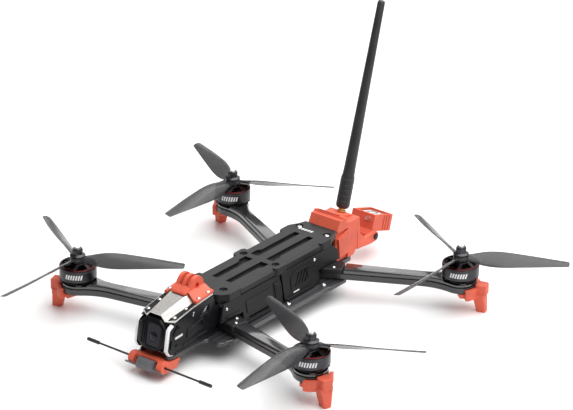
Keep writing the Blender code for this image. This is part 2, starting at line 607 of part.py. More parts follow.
def make_tail(soft, black, brass):
    """The soft tail block with its sloping top, and the whip antenna that leans back from it."""
    slope = math.tan(math.radians(WHIP_TILT))
    top_front = WHIP_FOOT.z - 0.4 + slope * (WHIP_FOOT.y - 82.0)
    top_rear = WHIP_FOOT.z - 0.4 + slope * (WHIP_FOOT.y - 109.0)
    side_view = [(76.0, 35.6), (82.0, top_front), (109.0, top_rear), (110.0, 14.0), (101.0, 5.6)]
    side_view += [(99.5, ARM_LOW + GAP), (79.0, ARM_LOW + GAP), (76.0, 9.0)]
    mesh = prism(side_view, -TAIL_HALF, TAIL_HALF, "X")
    mesh = bevelled(mesh, 3.0, 3, lambda p: abs(p.x) > TAIL_HALF - 0.01 and p.z > 38 and p.y < 90)
    block = model("tail_block", mesh, soft)
    cuts = [box((-12.0, 72.0, 8.0), (12.0, 98.0, 33.0))]
    slit = rounded([(-13.5, 85.0), (11.0, 85.0), (11.0, 89.0), (-13.5, 89.0)], 1.0, 2)
    cuts.append(prism(slit, 36.0, 60.0))
    cuts.append(box((-9.5, 104.0, 12.0), (9.5, 118.0, 32.0)))
    for side in (1, -1):
        low, high = sorted((side * 9.5, side * 30))
        cuts.append(box((low, 90.5, 39.0), (high, 112.0, 60.0)))
        low, high = sorted((side * 14.6, side * 30))
        cuts.append(prism([(75.0, 34.0), (92.0, 34.0), (92.0, 2.0), (75.0, 2.0)], low, high, "X"))
    boolean(block, together(*cuts))
    for side in (1, -1):
        low, high = sorted((side * 13.0, side * 17.2))
        gusset = [(77.5, 27.5), (93.0, 33.0), (93.0, 10.0), (79.5, 9.0)]
        boolean(block, prism(gusset, low, high, "X"), "UNION")
        low, high = sorted((side * 13.2, side * 16.8))
        lug = [(106.0, 26.0), (106.0, 8.0), (128.0, 5.8)] + arc((GPS_PIVOT.y, GPS_PIVOT.z), 4.6, -100, 95, 7)
        lug += [(118.0, 14.6)]
        boolean(block, prism(lug, low, high, "X"), "UNION")
    boolean(block, prism(arc((GPS_PIVOT.y, GPS_PIVOT.z), 1.9, 0, 330, 11), -20.0, 20.0, "X"))

    lean = Matrix.Rotation(math.radians(-WHIP_TILT), 4, "X")
    place = Matrix.Translation(WHIP_FOOT) @ lean
    collar = turned([(0, 0.1), (4.4, 0.1), (4.4, 1.8), (3.2, 2.0), (3.2, 3.2), (0, 3.2)], 6)
    model("antenna_collar", moved(collar, place), brass)
    profile = [(0, 3.5), (4.6, 3.5), (6.0, 5.2), (6.3, 7.0), (6.2, 32.0), (5.5, 34.5), (5.2, 42.0)]
    profile += [(4.3, 110.0), (3.4, 192.6), (2.4, 194.6), (0, 195.0)]
    model("whip_antenna", moved(turned(profile, 20), place), black)


def make_gps(soft, black, steel):
    """The folding tray on its pivot: an open box with a lug each side, the module in it and the pivot pin."""
    place = Matrix.Translation(GPS_PIVOT) @ Matrix.Rotation(math.radians(-GPS_TILT), 4, "X")
    tray = model("gps_tray", moved(box((-12.7, -1.5, 3.4), (12.7, 27.5, 19.0)), place), soft, GPS_PIVOT)
    boolean(tray, moved(box((-10.7, 0.7, 5.4), (10.7, 25.3, 24.0)), place))
    lug = arc((0, 0), 4.4, 180, 360, 8) + [(6.0, 5.0), (-1.4, 5.0)]
    boolean(tray, moved(prism(lug, -12.7, 12.7, "X"), place), "UNION")
    boolean(tray, moved(prism(arc((0, 0), 1.9, 0, 330, 11), -20.0, 20.0, "X"), place))
    module = prism(rounded([(-10.3, 1.1), (10.3, 1.1), (10.3, 24.9), (-10.3, 24.9)], 1.5, 2), 5.7, 16.6)
    model("gps_module", moved(module, place), black, GPS_PIVOT)
    head = [(1.6, 17.1), (2.9, 17.1), (2.9, 17.9), (2.2, 18.3), (0, 18.3)]
    pin = turned([(0, -17.4), (1.6, -17.4)] + head, 12)
    pin = moved(pin, Matrix.Rotation(math.radians(90), 4, "Y"))
    model("gps_pivot_pin", moved(pin, Matrix.Translation(GPS_PIVOT)), steel)


def make_electronics(board, black, silver):
    """What the shell holds: the two boards of the stack, the video transmitter and the capacitor."""
    low = PLATE_TOP + 1.5
    esc = box((-17.5, -31.0, low), (17.5, 11.0, low + 4.6))
    model("speed_controller", bevelled(esc, 0.8, 1, lambda p: p.z > low + 4.5), board)
    flight = box((-17.5, -28.0, low + 9.0), (17.5, 8.0, low + 12.4))
    model("flight_controller", bevelled(flight, 0.8, 1, lambda p: p.z > low + 12.3), board)
    sender = box((-13.0, 22.0, low), (13.0, 52.0, low + 11.0))
    model("video_transmitter", bevelled(sender, 1.0, 1, lambda p: p.z > low + 10.9), silver)
    can = moved(turned([(0, 0), (5.6, 0), (6.0, 0.6), (6.0, 21.4), (5.4, 22.0), (0, 22.0)], 16),
                Matrix.Rotation(math.radians(90), 4, "Y"))
    model("capacitor", moved(can, Matrix.Translation((-11.0, -62.0, low + 7.0))), black)


def main():
    for old in list(bpy.data.objects):
        bpy.data.objects.remove(old)
    carbon = material("carbon", (0.035, 0.035, 0.038), 0.4)
    plastic = material("black_plastic", (0.04, 0.04, 0.042), 0.5)
    gloss = material("gloss_black", (0.01, 0.01, 0.012), 0.12)
    soft = material("orange_soft_plastic", (0.85, 0.16, 0.06), 0.6)
    smoke = material("smoke_plastic", (0.12, 0.12, 0.13), 0.25)
    silver = material("silver_sheet", (0.75, 0.74, 0.72), 0.35, 1.0)
    steel = material("steel", (0.7, 0.7, 0.7), 0.3, 1.0)
    brass = material("brass", (0.75, 0.52, 0.2), 0.35, 1.0)
    copper = material("red_copper", (0.25, 0.05, 0.035), 0.45, 0.6)
    glass = material("lens_glass", (0.02, 0.02, 0.03), 0.05)
    grey = material("grey_plastic", (0.09, 0.1, 0.11), 0.5)
    board = material("circuit_board", (0.02, 0.05, 0.03), 0.5)

    make_bottom_plate(carbon)
    for arm in ARMS:
        make_arm(arm, carbon, plastic)
        make_foot(arm, soft)
        make_motor(arm, plastic, copper)
        make_rotor(arm, smoke, plastic)
    make_shell(plastic)
    make_panels(plastic)
    make_nose(plastic, silver)
    make_camera(gloss, plastic, glass)
    make_action_mount(soft)
    make_receiver_front(soft, grey, plastic)
    make_tail(soft, plastic, brass)
    make_gps(soft, plastic, steel)
    make_electronics(board, plastic, silver)

    sharp = sharp_group()
    for made in bpy.data.objects:
        if made.modifiers:
            step = made.modifiers.new("sharp_edges", "NODES")
            step.node_group = sharp


main()
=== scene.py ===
import json
import math

import bmesh
import bpy
from mathutils import Matrix, Vector


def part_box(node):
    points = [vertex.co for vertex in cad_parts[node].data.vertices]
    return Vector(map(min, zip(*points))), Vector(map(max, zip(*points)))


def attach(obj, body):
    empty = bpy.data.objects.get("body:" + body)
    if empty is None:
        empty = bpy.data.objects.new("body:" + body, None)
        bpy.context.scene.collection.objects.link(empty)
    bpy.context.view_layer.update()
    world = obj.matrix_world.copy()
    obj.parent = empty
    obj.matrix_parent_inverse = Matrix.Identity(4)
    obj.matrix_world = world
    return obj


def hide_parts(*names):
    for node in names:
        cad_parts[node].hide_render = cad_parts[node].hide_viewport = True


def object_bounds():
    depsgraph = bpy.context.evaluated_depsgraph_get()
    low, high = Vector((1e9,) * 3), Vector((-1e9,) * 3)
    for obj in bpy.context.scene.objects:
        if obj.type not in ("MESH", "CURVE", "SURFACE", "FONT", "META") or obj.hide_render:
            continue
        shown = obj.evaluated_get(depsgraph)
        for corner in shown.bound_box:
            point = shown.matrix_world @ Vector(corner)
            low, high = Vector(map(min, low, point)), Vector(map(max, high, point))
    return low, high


# The finer shapes, finishes, light and camera of a racing drone, round its CAD frame

MM = 0.001

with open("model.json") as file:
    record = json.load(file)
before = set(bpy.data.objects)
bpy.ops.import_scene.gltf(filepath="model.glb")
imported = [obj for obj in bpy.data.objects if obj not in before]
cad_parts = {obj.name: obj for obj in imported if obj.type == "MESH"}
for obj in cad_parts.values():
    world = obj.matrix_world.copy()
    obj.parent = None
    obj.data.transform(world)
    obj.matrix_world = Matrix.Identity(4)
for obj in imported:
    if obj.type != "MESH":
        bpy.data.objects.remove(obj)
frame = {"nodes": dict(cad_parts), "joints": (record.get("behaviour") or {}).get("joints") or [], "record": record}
NODES = frame["nodes"]
cad_low, cad_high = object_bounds()
FLOOR_Z = cad_low[2]


def top_of(node, axis=2):
    """How far a CAD node reaches up, or along another axis, in millimetres."""
    return round(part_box(node)[1][axis] / MM, 2)


# Places and sizes that the CAD gives, in millimetres
PIVOTS = {joint["name"]: [round(v / MM, 2) for v in joint["pos_m"]] for joint in frame["joints"]}
ARM_NAMES = ("front_left", "front_right", "rear_left", "rear_right")
ARMS = {name: PIVOTS[f"rotor_{name}_spin"][:2] for name in ARM_NAMES}
CAMERA_PIVOT = PIVOTS["camera_tilt"]
GPS_PIVOT = PIVOTS["gps_fold"]
PLATE_TOP = top_of("bottom_plate")
CLAMP_TOP = top_of("arm_clamp_front_left")
COVER_TOP = top_of("arm_cover_front_left")
DECK = top_of("top_shell")
NOSE_X = top_of("nose_plate_left", 0)

# Sizes that the CAD shares with the shapes below, in millimetres and degrees
SHAFT_R = 2.5
BELL_R = 16.5
SEAT = 13.0  # the underside of a motor's base
PAD_R = 15.0
ARM_ROOT_HALF = 7.4
ARM_TIP_HALF = 6.0
ARM_ROOTS = {"front": (18.0, -82.0), "rear": (18.0, 49.2)}  # under the shell, on the left
CLAMP_ENDS = {"front": 94.0, "rear": 104.0}  # from the motor's axis
PROP_R = 95.25
HUB_LOW = 31.3
HUB_TOP = 36.4
NUT_TOP = 43.0
SHAFT_TOP = 45.0
FIRST_BLADE = 30.5
CAMERA_LEAN = 12.0
WHIP_FOOT = (0.0, 103.5, 41.3)
WHIP_LEAN = 16.5
GPS_LEAN = 18.0


# ---------------------------------------------------------------- mesh helpers, in millimetres and degrees

def loft(rings, closed=False):
    """A closed mesh through rings of equally many points."""
    mesh = bmesh.new()
    rows = [[mesh.verts.new(p) for p in ring] for ring in rings]
    pairs = list(zip(rows, rows[1:]))
    if closed:
        pairs.append((rows[-1], rows[0]))
    else:
        mesh.faces.new(rows[0])
        mesh.faces.new(rows[-1])
    for row, following in pairs:
        for i in range(len(row)):
            j = (i + 1) % len(row)
            mesh.faces.new((row[i], row[j], following[j], following[i]))
    bmesh.ops.recalc_face_normals(mesh, faces=mesh.faces)
    return mesh


def arc(centre, radius, start, end, steps):
    """Points of an arc, with its angles in degrees."""
    angles = [math.radians(start + (end - start) * i / steps) for i in range(steps + 1)]
    return [(centre[0] + radius * math.cos(a), centre[1] + radius * math.sin(a)) for a in angles]


def rounded(points, radius, steps=4):
    """A closed outline with its corners turned into arcs."""
    outline = []
    for before, corner, after in zip(points[-1:] + points[:-1], points, points[1:] + points[:1]):
        corner = Vector(corner)
        back = Vector(before) - corner
        ahead = Vector(after) - corner
        half = back.angle(ahead) / 2
        reach = min(radius / math.tan(half), back.length * 0.45, ahead.length * 0.45)
        start = corner + back.normalized() * reach
        end = corner + ahead.normalized() * reach
        for i in range(steps + 1):
            part = i / steps
            outline.append(tuple(start * (1 - part) ** 2 + corner * 2 * part * (1 - part) + end * part**2))
    return outline


def prism(outline, low, high, axis="Z"):
    """An outline extruded along an axis. Its numbers are the other two coordinates in X, Y, Z order."""
    place = {
        "X": lambda a, b, h: (h, a, b),
        "Y": lambda a, b, h: (a, h, b),
        "Z": lambda a, b, h: (a, b, h),
    }[axis]
    return loft([[place(a, b, h) for a, b in outline] for h in (low, high)])


def soft_prism(outline, low, high, edge, axis="Z"):
    """A prism with its rims rounded over."""
    mesh = prism(outline, low, high, axis)
    n = {"X": 0, "Y": 1, "Z": 2}[axis]
    rims = [e for e in mesh.edges if abs(e.verts[0].co[n] - e.verts[1].co[n]) < 1e-6]
    bmesh.ops.bevel(mesh, geom=rims, offset=edge, segments=2, affect="EDGES", clamp_overlap=True)
    return mesh


def soft_box(low, high, edge, steps=2):
    """A box with all its edges rounded over."""
    corners = [(low[0], low[1]), (high[0], low[1]), (high[0], high[1]), (low[0], high[1])]
    mesh = prism(corners, low[2], high[2])
    edges = mesh.edges[:]
    bmesh.ops.bevel(mesh, geom=edges, offset=edge, segments=steps, affect="EDGES", clamp_overlap=True)
    return mesh


def turned(profile, steps=64):
    """A profile of (radius, height) turned about Z. One that stays off the axis makes a ring."""
    if profile[0][0] > 0:
        rings = []
        for i in range(steps):
            a = math.tau * i / steps
            rings.append([(r * math.cos(a), r * math.sin(a), z) for r, z in profile])
        return loft(rings, closed=True)
    mesh = bmesh.new()
    rows = []
    for r, z in profile:
        if r == 0:
            rows.append([mesh.verts.new((0, 0, z))] * steps)
            continue
        angles = [math.tau * i / steps for i in range(steps)]
        rows.append([mesh.verts.new((r * math.cos(a), r * math.sin(a), z)) for a in angles])
    for row, following in zip(rows, rows[1:]):
        for i in range(steps):
            j = (i + 1) % steps
            corners = [row[i], row[j], following[j], following[i]]
            mesh.faces.new([v for n, v in enumerate(corners) if v not in corners[:n]])
    bmesh.ops.recalc_face_normals(mesh, faces=mesh.faces)
    return mesh


def moved(mesh, matrix):
    """The mesh itself after a transform, with its faces still outwards."""
    bmesh.ops.transform(mesh, matrix=matrix, verts=mesh.verts)
    if matrix.determinant() < 0:
        bmesh.ops.reverse_faces(mesh, faces=mesh.faces)
    return mesh


def together(*meshes):
    """Several meshes in one, as they are."""
    whole = bmesh.new()
    for mesh in meshes:
        data = bpy.data.meshes.new("piece")
        mesh.to_mesh(data)
        mesh.free()
        whole.from_mesh(data)
        bpy.data.meshes.remove(data)
    return whole


def both(mesh):
    """A mesh and its mirror image across X = 0."""
    other = mesh.copy()
    bmesh.ops.transform(other, matrix=Matrix.Scale(-1.0, 4, (1, 0, 0)), verts=other.verts)
    bmesh.ops.reverse_faces(other, faces=other.faces)
    return together(mesh, other)


def at(x=0.0, y=0.0, z=0.0):
    return Matrix.Translation((x, y, z))


def rot(degrees, axis):
    return Matrix.Rotation(math.radians(degrees), 4, axis)


def sides(*spots):
    """Each spot and its mirror image across X = 0."""
    return [(side * x, y, z) for side in (1, -1) for x, y, z in spots]


def piece(name, mesh, finish, body="frame", replaces=(), sharp=40):
    """A shown piece in metres that rides on a CAD body."""
    moved(mesh, Matrix.Scale(MM, 4))
    data = bpy.data.meshes.new(name)
    mesh.to_mesh(data)
    mesh.free()
    data.materials.append(finish)
    data.shade_smooth()
    data.set_sharp_from_angle(angle=math.radians(sharp))
    made = bpy.data.objects.new(name, data)
    bpy.context.scene.collection.objects.link(made)
    if replaces:
        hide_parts(*replaces)
    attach(made, body)


def cut(mesh, cutter):
    """The mesh without what a cutter takes away."""
    objects = []
    for n, source in enumerate((mesh, cutter)):
        data = bpy.data.meshes.new(f"boolean_{n}")
        source.to_mesh(data)
        source.free()
        made = bpy.data.objects.new(f"boolean_{n}", data)
        bpy.context.scene.collection.objects.link(made)
        objects.append(made)
    target, tool = objects
    step = target.modifiers.new("cut", "BOOLEAN")
    step.operation = "DIFFERENCE"
    step.solver = "EXACT"
    step.object = tool
    bpy.context.view_layer.update()
    evaluated = target.evaluated_get(bpy.context.evaluated_depsgraph_get())
    result = bmesh.new()
    result.from_mesh(evaluated.to_mesh())
    evaluated.to_mesh_clear()
    for made in objects:
        data = made.data
        bpy.data.objects.remove(made)
        bpy.data.meshes.remove(data)
    return result


# ---------------------------------------------------------------- materials

class Nodes:
    """A material under construction: its shader, and short ways to add nodes."""

    def __init__(self, name, roughness=0.5, metallic=0.0, **fixed):
        self.made = bpy.data.materials.new(name)
        self.made.use_nodes = True
        self.tree = self.made.node_tree
        self.shader = self.tree.nodes["Principled BSDF"]
        self.shader.inputs["Roughness"].default_value = roughness
        self.shader.inputs["Metallic"].default_value = metallic
        for socket, value in fixed.items():
            self.shader.inputs[socket.replace("_", " ")].default_value = value
        self.coords = self.tree.nodes.new("ShaderNodeTexCoord").outputs["Object"]

    def add(self, kind, inputs=(), **settings):
        node = self.tree.nodes.new(kind)
        for key, value in settings.items():
            setattr(node, key, value)
        for key, value in dict(inputs).items():
            if isinstance(value, bpy.types.NodeSocket):
                self.tree.links.new(value, node.inputs[key])
            else:
                node.inputs[key].default_value = value
        return node

    def link(self, value, socket):
        self.tree.links.new(value, self.shader.inputs[socket])

    def noise(self, scale, detail=4.0, roughness=0.6, coords=None):
        inputs = {"Vector": coords or self.coords, "Scale": scale, "Detail": detail, "Roughness": roughness}
        return self.add("ShaderNodeTexNoise", inputs).outputs["Fac"]

    def ramp(self, value, low, high, start=0.3, end=0.7):
        inputs = {"Value": value, "From Min": start, "From Max": end, "To Min": low, "To Max": high}
        return self.add("ShaderNodeMapRange", inputs).outputs["Result"]

    def mix(self, factor, a, b):
        node = self.add("ShaderNodeMix", data_type="RGBA")
        for key, value in ((0, factor), (6, a), (7, b)):
            if isinstance(value, bpy.types.NodeSocket):
                self.tree.links.new(value, node.inputs[key])
            elif key == 0:
                node.inputs[key].default_value = value
            else:
                node.inputs[key].default_value = (*value, 1.0)
        return node.outputs[2]

    def math(self, operation, a, b=0.0):
        node = self.add("ShaderNodeMath", operation=operation)
        for n, value in enumerate((a, b)):
            if isinstance(value, bpy.types.NodeSocket):
                self.tree.links.new(value, node.inputs[n])
            else:
                node.inputs[n].default_value = value
        return node.outputs[0]

    def rounding(self, radius):
        return self.add("ShaderNodeBevel", {"Radius": radius}, samples=6).outputs["Normal"]

    def wear_and_edge_highlight(self, radius, amount):
        """A mask that rises to the amount along sharp edges, for edge wear and a painted edge highlight."""
        soft = self.rounding(radius)
        hard = self.add("ShaderNodeNewGeometry").outputs["Normal"]
        dot = self.add("ShaderNodeVectorMath", operation="DOT_PRODUCT")
        self.tree.links.new(soft, dot.inputs[0])
        self.tree.links.new(hard, dot.inputs[1])
        return self.ramp(dot.outputs["Value"], amount, 0.0, 0.86, 0.995)

    def bump(self, height, distance, strength=1.0, normal=None):
        inputs = {"Height": height, "Distance": distance, "Strength": strength}
        if normal is not None:
            inputs["Normal"] = normal
        return self.add("ShaderNodeBump", inputs).outputs["Normal"]


def moulded(name, colour, roughness, edge=0.0004, grain=0.00001, wear_and_edge_highlight=0.0, **fixed):
    """Moulded plastic: a fine grain, slow changes of tone and gloss, and rounded edges made lighter, partly as
    wear and partly as a painted highlight.
    """
    m = Nodes(name, **fixed)
    slow = m.noise(60.0, 3.0)
    tone = m.mix(m.ramp(slow, 0.0, 1.0), [c * 0.82 for c in colour], [min(1.0, c * 1.22) for c in colour])
    # Lighter along sharp edges: partly wear, partly a painted edge highlight.
    if wear_and_edge_highlight:
        tone = m.mix(m.wear_and_edge_highlight(edge * 1.5, wear_and_edge_highlight), tone, [min(1.0, c * 3 + 0.03) for c in colour])
    m.link(tone, "Base Color")
    fine = m.noise(4200.0, 2.0, 0.6)
    gloss = m.math("ADD", m.ramp(slow, roughness - 0.05, roughness + 0.05), m.ramp(fine, -0.04, 0.04))
    m.link(gloss, "Roughness")
    m.link(m.bump(fine, grain, 0.6, m.rounding(edge)), "Normal")
    return m.made


def printed(name, colour):
    """Soft printed plastic: thin layer lines round the piece, with a slight waxy depth."""
    m = Nodes(name, Subsurface_Weight=0.06, Subsurface_Radius=(0.004, 0.0012, 0.0006))
    split = m.add("ShaderNodeSeparateXYZ", {"Vector": m.coords})
    wander = m.ramp(m.noise(90.0, 2.0), -0.00006, 0.00006)
    height = m.math("ADD", split.outputs["Z"], wander)
    layer = m.math("ABSOLUTE", m.math("SINE", m.math("MULTIPLY", height, math.pi / 0.00028)))
    slow = m.noise(45.0, 3.0)
    tone = m.mix(m.ramp(slow, 0.0, 1.0), [c * 0.84 for c in colour], [min(1.0, c * 1.12) for c in colour])
    # Lighter along sharp edges: partly wear, partly a painted edge highlight.
    tone = m.mix(m.wear_and_edge_highlight(0.0008, 0.35), tone, [min(1.0, c * 1.3 + 0.04) for c in colour])
    m.link(tone, "Base Color")
    m.link(m.ramp(slow, 0.48, 0.62), "Roughness")
    fine = m.bump(m.noise(900.0, 3.0), 0.00003, 0.5, m.rounding(0.0006))
    m.link(m.bump(layer, 0.00003, 0.55, fine), "Normal")
    return m.made


def woven(name):
    """Carbon fibre plate: a 2 by 2 twill under a satin surface, with the cut edge showing its layers."""
    m = Nodes(name, Coat_Weight=0.35, Coat_Roughness=0.22)
    split = m.add("ShaderNodeSeparateXYZ", {"Vector": m.coords})
    tow = 0.0021
    u = m.math("DIVIDE", m.math("ADD", split.outputs["X"], split.outputs["Y"]), tow * math.sqrt(2))
    v = m.math("DIVIDE", m.math("SUBTRACT", split.outputs["X"], split.outputs["Y"]), tow * math.sqrt(2))
    cell = m.math("ADD", m.math("FLOOR", u), m.math("FLOOR", v))
    over = m.math("LESS_THAN", m.math("FLOORED_MODULO", cell, 4.0), 1.5)
    ridge_u = m.math("SINE", m.math("MULTIPLY", m.math("FRACT", u), math.pi))
    ridge_v = m.math("SINE", m.math("MULTIPLY", m.math("FRACT", v), math.pi))
    crown = m.add("ShaderNodeMix", {0: over, 2: ridge_u, 3: ridge_v}, data_type="FLOAT").outputs[0]
    weave = m.mix(over, (0.018, 0.018, 0.02), (0.04, 0.04, 0.043))
    layers = m.math("SINE", m.math("MULTIPLY", split.outputs["Z"], math.tau / 0.0005))
    cut_edge = m.mix(m.ramp(layers, 0.0, 1.0, -0.4, 0.4), (0.02, 0.02, 0.021), (0.045, 0.045, 0.047))
    normal = m.add("ShaderNodeNewGeometry").outputs["Normal"]
    facing = m.math("ABSOLUTE", m.add("ShaderNodeSeparateXYZ", {"Vector": normal}).outputs["Z"])
    flat = m.math("GREATER_THAN", facing, 0.7)
    m.link(m.mix(flat, cut_edge, weave), "Base Color")
    m.link(m.ramp(m.noise(70.0), 0.3, 0.42), "Roughness")
    height = m.math("MULTIPLY", crown, flat)
    m.link(m.bump(height, 0.00004, 0.5, m.rounding(0.0003)), "Normal")
    return m.made


def metal(name, colour, roughness, direction, scratch, **fixed):
    """Metal with fine brushing along the axes where the direction's scale is small."""
    m = Nodes(name, metallic=1.0, **fixed)
    stretched = m.add("ShaderNodeMapping", {"Vector": m.coords, "Scale": direction}).outputs["Vector"]
    brush = m.noise(120.0, 6.0, 0.7, stretched)
    slow = m.noise(50.0, 2.0)
    tone = m.mix(m.ramp(slow, 0.0, 1.0), [c * 0.9 for c in colour], [min(1.0, c * 1.06) for c in colour])
    m.link(tone, "Base Color")
    m.link(m.ramp(brush, roughness - scratch / 2, roughness + scratch), "Roughness")
    m.link(m.bump(brush, 0.000012, 0.5, m.rounding(0.00025)), "Normal")
    return m.made


def windings(name):
    """Enamelled copper wire, as tight turns round each coil, with painted shade in the grooves between turns."""
    m = Nodes(name, metallic=0.75, roughness=0.3)
    split = m.add("ShaderNodeSeparateXYZ", {"Vector": m.coords})
    turns = m.math("ABSOLUTE", m.math("SINE", m.math("MULTIPLY", split.outputs["Z"], math.pi / 0.0007)))
    # Painted shade: near black in the grooves between turns, copper on their crowns.
    tone = m.mix(m.ramp(turns, 0.0, 1.0, 0.0, 1.0), (0.05, 0.008, 0.005), (0.42, 0.075, 0.035))
    m.link(tone, "Base Color")
    m.link(m.bump(turns, 0.0002, 0.8), "Normal")
    return m.made


def smoked(name, alpha):
    """Smoke-grey propeller plastic: satin, and as see-through as its alpha says."""
    m = Nodes(name, Coat_Weight=0.1, Coat_Roughness=0.1, Specular_IOR_Level=0.3, Alpha=alpha)
    slow = m.noise(28.0, 3.0)
    tone = m.mix(m.ramp(slow, 0.0, 1.0), (0.03, 0.03, 0.032), (0.042, 0.042, 0.045))
    m.link(tone, "Base Color")
    m.link(m.ramp(slow, 0.2, 0.26), "Roughness")
    m.link(m.bump(m.noise(3500.0, 2.0), 0.000002, 0.2), "Normal")
    return m.made


def lens_glass(name):
    """Coated dark glass, a little violet at grazing angles."""
    m = Nodes(name, roughness=0.06, Specular_IOR_Level=0.3)
    layer = m.add("ShaderNodeLayerWeight", {"Blend": 0.35}).outputs["Facing"]
    tone = m.mix(m.ramp(layer, 0.0, 1.0, 0.0, 1.0), (0.005, 0.005, 0.007), (0.02, 0.01, 0.035))
    m.link(tone, "Base Color")
    return m.made


def board_green(name):
    """Green circuit board with a faint net of tracks."""
    m = Nodes(name, Coat_Weight=0.4, Coat_Roughness=0.15)
    tracks = m.add("ShaderNodeTexBrick", {"Vector": m.coords, "Scale": 260.0, "Mortar Size": 0.03})
    tracks.inputs["Color1"].default_value = (0.012, 0.045, 0.028, 1.0)
    tracks.inputs["Color2"].default_value = (0.016, 0.055, 0.033, 1.0)
    tracks.inputs["Mortar"].default_value = (0.03, 0.09, 0.05, 1.0)
    m.link(tracks.outputs["Color"], "Base Color")
    m.link(m.ramp(m.noise(400.0), 0.3, 0.45), "Roughness")
    return m.made


def pale_floor(name):
    """A pale floor with slow changes of tone."""
    m = Nodes(name, roughness=0.35, Specular_IOR_Level=0.3)
    m.link(m.mix(m.ramp(m.noise(3.0), 0.0, 1.0), (0.82, 0.82, 0.82), (0.85, 0.85, 0.85)), "Base Color")
    return m.made


BLACK = moulded("black_moulding", (0.011, 0.011, 0.0122), 0.38, wear_and_edge_highlight=0.2, Specular_IOR_Level=0.22)
ARM_BLACK = moulded("arm_moulding", (0.018, 0.018, 0.02), 0.2, edge=0.0005, grain=0.000004, wear_and_edge_highlight=0.1,
                    Specular_IOR_Level=0.8, Coat_Weight=1.0, Coat_Roughness=0.1)
NOSE_BLACK = moulded("nose_moulding", (0.009, 0.009, 0.0105), 0.28, edge=0.0005, wear_and_edge_highlight=0.25,
                     Specular_IOR_Level=0.2)
GLOSS = moulded("gloss_black", (0.006, 0.006, 0.007), 0.09, edge=0.0005, grain=0.000004, Coat_Weight=0.6,
                Coat_Roughness=0.05)
CAMERA_BLACK = moulded("camera_black", (0.004, 0.004, 0.005), 0.14, edge=0.0003, grain=0.000004,
                       Specular_IOR_Level=0.16)
GREY = moulded("grey_moulding", (0.13, 0.13, 0.14), 0.4, edge=0.0006)
RUBBER = moulded("antenna_rubber", (0.02, 0.02, 0.022), 0.38, edge=0.0003, grain=0.00003)
WHITE = moulded("pale_moulding", (0.8, 0.79, 0.76), 0.35, edge=0.0003)
# Pale paint for the nose plates' front bevels: a painted highlight, standing for the light that these bevels
# catch.
EDGE_HIGHLIGHT_PAINT = moulded("painted_edge_highlight", (0.82, 0.82, 0.82), 0.22, edge=0.0002)
PALE_INK = moulded("pale_ink", (0.72, 0.72, 0.72), 0.4, edge=0.00005)
ORANGE = printed("orange_print", (0.72, 0.115, 0.06))
CARBON = woven("carbon_twill")
ANODISED = metal("black_anodised", (0.055, 0.055, 0.06), 0.3, (1.0, 1.0, 30.0), 0.08,
                 Specular_IOR_Level=0.5)
RED_ANODISED = metal("red_anodised", (0.06, 0.01, 0.01), 0.3, (1.0, 1.0, 30.0), 0.08)
SILVER = metal("silver_sheet", (0.68, 0.66, 0.63), 0.27, (40.0, 1.0, 40.0), 0.12)
STEEL = metal("steel", (0.74, 0.74, 0.73), 0.2, (1.0, 1.0, 1.0), 0.1)
DARK_STEEL = metal("dark_screws", (0.05, 0.05, 0.055), 0.28, (1.0, 1.0, 1.0), 0.1)
BRASS = metal("brass", (0.78, 0.52, 0.2), 0.25, (1.0, 1.0, 20.0), 0.1)
MAGNET = metal("magnets", (0.5, 0.5, 0.5), 0.3, (1.0, 1.0, 1.0), 0.1)
WIRE = windings("enamelled_wire")
SMOKE = smoked("smoke_blades", 0.8)
SMOKE_HUB = smoked("smoke_hub", 1.0)
LENS = lens_glass("lens_glass")
BOARD = board_green("circuit_board")

FINISHES = {
    "carbon_plate": CARBON, "black_plastic": BLACK, "nose_plastic": NOSE_BLACK, "gloss_black": GLOSS,
    "orange_soft_plastic": ORANGE, "black_anodised": ANODISED, "red_copper": WIRE, "smoke_plastic": SMOKE,
    "silver_sheet": SILVER, "steel": STEEL, "brass": BRASS, "lens_glass": LENS, "grey_plastic": GREY,
    "antenna_rubber": RUBBER, "circuit_board": BOARD, "capacitor_sleeve": GLOSS,
}
for row in frame["record"]["subparts"]:
    node = NODES[row["node"]]
    node.data.materials.clear()
    finish = FINISHES[row["material_slot"]]
    if row["node"] == "gps_pivot_pin":
        finish = DARK_STEEL
    node.data.materials.append(finish)


def soften(width, *names):
    """Rounds the sharp edges of CAD nodes a little."""
    for name in names:
        step = NODES[name].modifiers.new("rounded_edges", "BEVEL")
        step.width = width * MM
        step.segments = 2
        step.limit_method = "ANGLE"
        step.angle_limit = math.radians(35)


soften(0.5, "action_mount", "antenna_holder", "tail_block", "gps_tray", *(f"foot_{arm}" for arm in ARMS))
soften(0.35, "top_shell", "nose_plate_left", "nose_plate_right", *(f"arm_clamp_{arm}" for arm in ARMS))
soften(1.2, "antenna_capsule")


# ---------------------------------------------------------------- screws

def screw(radius=2.6, height=1.5, drive=1.35, style="button"):
    """A screw head that stands on z = 0, with a hexagonal socket."""
    socket = arc((0, 0), drive, 0, 300, 5)
    if style == "flat":
        head = turned([(0, -0.6), (radius * 0.6, -0.6), (radius, 0.0), (radius, 0.15), (radius - 0.15, 0.3),
                       (0, 0.3)], 28)
        return cut(head, prism(socket, -0.4, 1.0))
    rise = [(radius * math.cos(math.radians(a)), height * (0.25 + 0.75 * math.sin(math.radians(a))))
            for a in (0, 22, 45, 66)]
    head = turned([(0, -0.3), (radius, -0.3), *rise, (0, height)], 28)
    return cut(head, prism(socket, height * 0.35, height + 1))


def screws(name, spots, finish, **shape):
    """Upright screw heads in one piece, from their (x, y, z) spots."""
    heads = [moved(screw(**shape), at(*spot)) for spot in spots]
    piece(name, together(*heads), finish)


# ---------------------------------------------------------------- propellers

